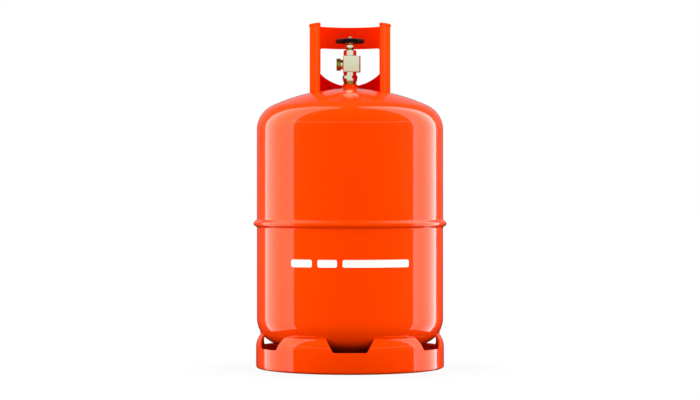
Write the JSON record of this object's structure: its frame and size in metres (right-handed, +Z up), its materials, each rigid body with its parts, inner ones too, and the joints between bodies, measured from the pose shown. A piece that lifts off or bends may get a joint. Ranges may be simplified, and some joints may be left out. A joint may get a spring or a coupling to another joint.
{
  "type": "gas cylinder",
  "caption": "Upright welded steel gas cylinder with domed ends, a foot ring with windows, a collar with a hand hold, and a brass valve with a handwheel.",
  "frame": {"origin": "centre of the foot ring's base, on the surface it stands on", "axes": "+Z up the cylinder's axis; the collar's opening faces -Y and the valve's outlet points along -X"},
  "size_m": [0.3266, 0.3264, 0.58],
  "materials": {
    "paint": "gloss",
    "pale_brass": "polished",
    "brass": "satin",
    "wheel_black": "gloss",
    "plated_steel": "satin",
    "spring_steel": "satin",
    "nylon": "satin",
    "nitrile": "matte",
    "fibre": "matte"
  },
  "bodies": {
    "cylinder": {"upper_shell": "paint", "lower_shell": "paint", "girth_weld": "paint", "foot_ring": "paint", "foot_ring_welds": "paint", "collar": "paint", "collar_welds": "paint", "valve_boss": "paint", "boss_weld": "paint", "valve_body": "pale_brass", "bonnet": "pale_brass", "bonnet_gasket": "fibre", "gland_nut": "pale_brass", "packing_rings": "nylon", "spindle_washer": "nylon", "relief_spring": "spring_steel", "relief_plug": "brass", "cross_hole_plug": "plated_steel"},
    "wheel": {"spindle": "brass", "handwheel": "wheel_black", "wheel_washer": "plated_steel", "wheel_nut": "plated_steel"},
    "closer": {"lower_spindle": "brass", "seat_disc": "nylon"},
    "relief": {"relief_poppet": "brass", "relief_seal": "nitrile"}
  },
  "joints": [
    {"name": "handwheel_turn", "type": "hinge", "parent": "cylinder", "child": "wheel", "pos_m": [0, 0, 0.54], "axis": [0, 0, 1], "range_deg": [0, 1080]},
    {"name": "spindle_lift", "type": "slide", "parent": "wheel", "child": "closer", "axis": [0, 0, 1], "range_m": [0, 0.0038]},
    {"name": "relief_lift", "type": "slide", "parent": "cylinder", "child": "relief", "axis": [0, 0, 1], "range_m": [0, 0.0012], "stiffness_N_per_m": 5000, "springref_m": -0.0032, "deforming": ["relief_spring"]}
  ],
  "couplings": [
    {"joint": "spindle_lift", "follows": "handwheel_turn", "m_per_rad": 0.00019894}
  ]
}
